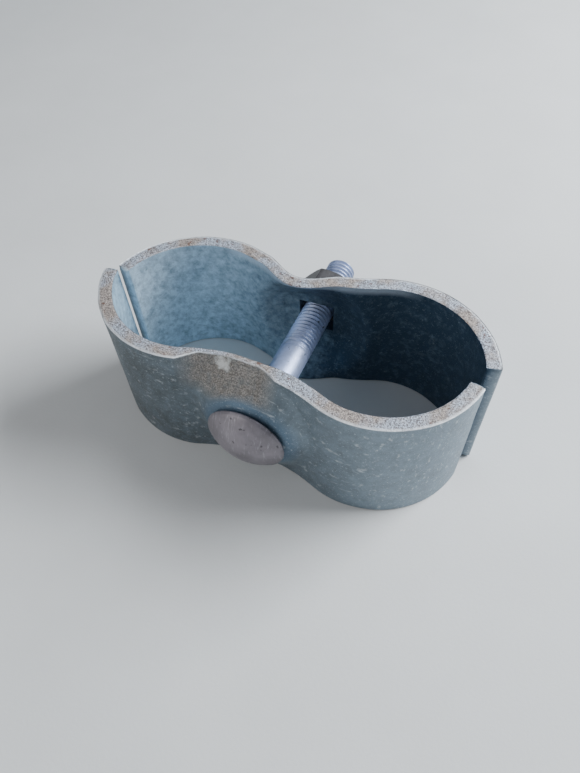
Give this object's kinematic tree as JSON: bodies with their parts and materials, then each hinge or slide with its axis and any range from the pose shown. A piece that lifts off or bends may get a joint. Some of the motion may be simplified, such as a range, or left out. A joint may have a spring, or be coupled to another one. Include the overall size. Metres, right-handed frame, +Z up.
{
  "type": "double tube clamp",
  "caption": "Two-piece galvanised steel clamp that ties two parallel tubes side by side with one carriage bolt and nut.",
  "frame": {"origin": "on the plane of the strap's lower edges, under the middle of the whole clamp's bounding box, bolt included", "axes": "+X along the long way, from the left tube to the right one; +Y along the bolt, from the head to the nut; +Z up, along the tubes"},
  "size_m": [0.1192, 0.0804, 0.045],
  "materials": {
    "front_strap": "hot-dip galvanised, dull",
    "back_strap": "hot-dip galvanised, dull",
    "bolt": "hot-dip galvanised, satin",
    "nut": "weathered zinc, dark"
  },
  "bodies": {
    "front": {"front_half": "front_strap", "carriage_bolt": "bolt"},
    "back": {"back_half": "back_strap"},
    "nut": {"hex_nut": "nut"}
  },
  "joints": [
    {"name": "back_slide", "type": "slide", "parent": "front", "child": "back", "axis": [0, 1, 0], "range_m": [-0.0002, 0.01]},
    {"name": "nut_turn", "type": "hinge", "parent": "back", "child": "nut", "pos_m": [-0.00074, 0.0252, 0.0225], "axis": [0, 1, 0], "range_deg": [-50, 2405]}
  ],
  "couplings": [
    {"joint": "nut_turn", "follows": "back_slide", "rad_per_m": 4188.8}
  ]
}
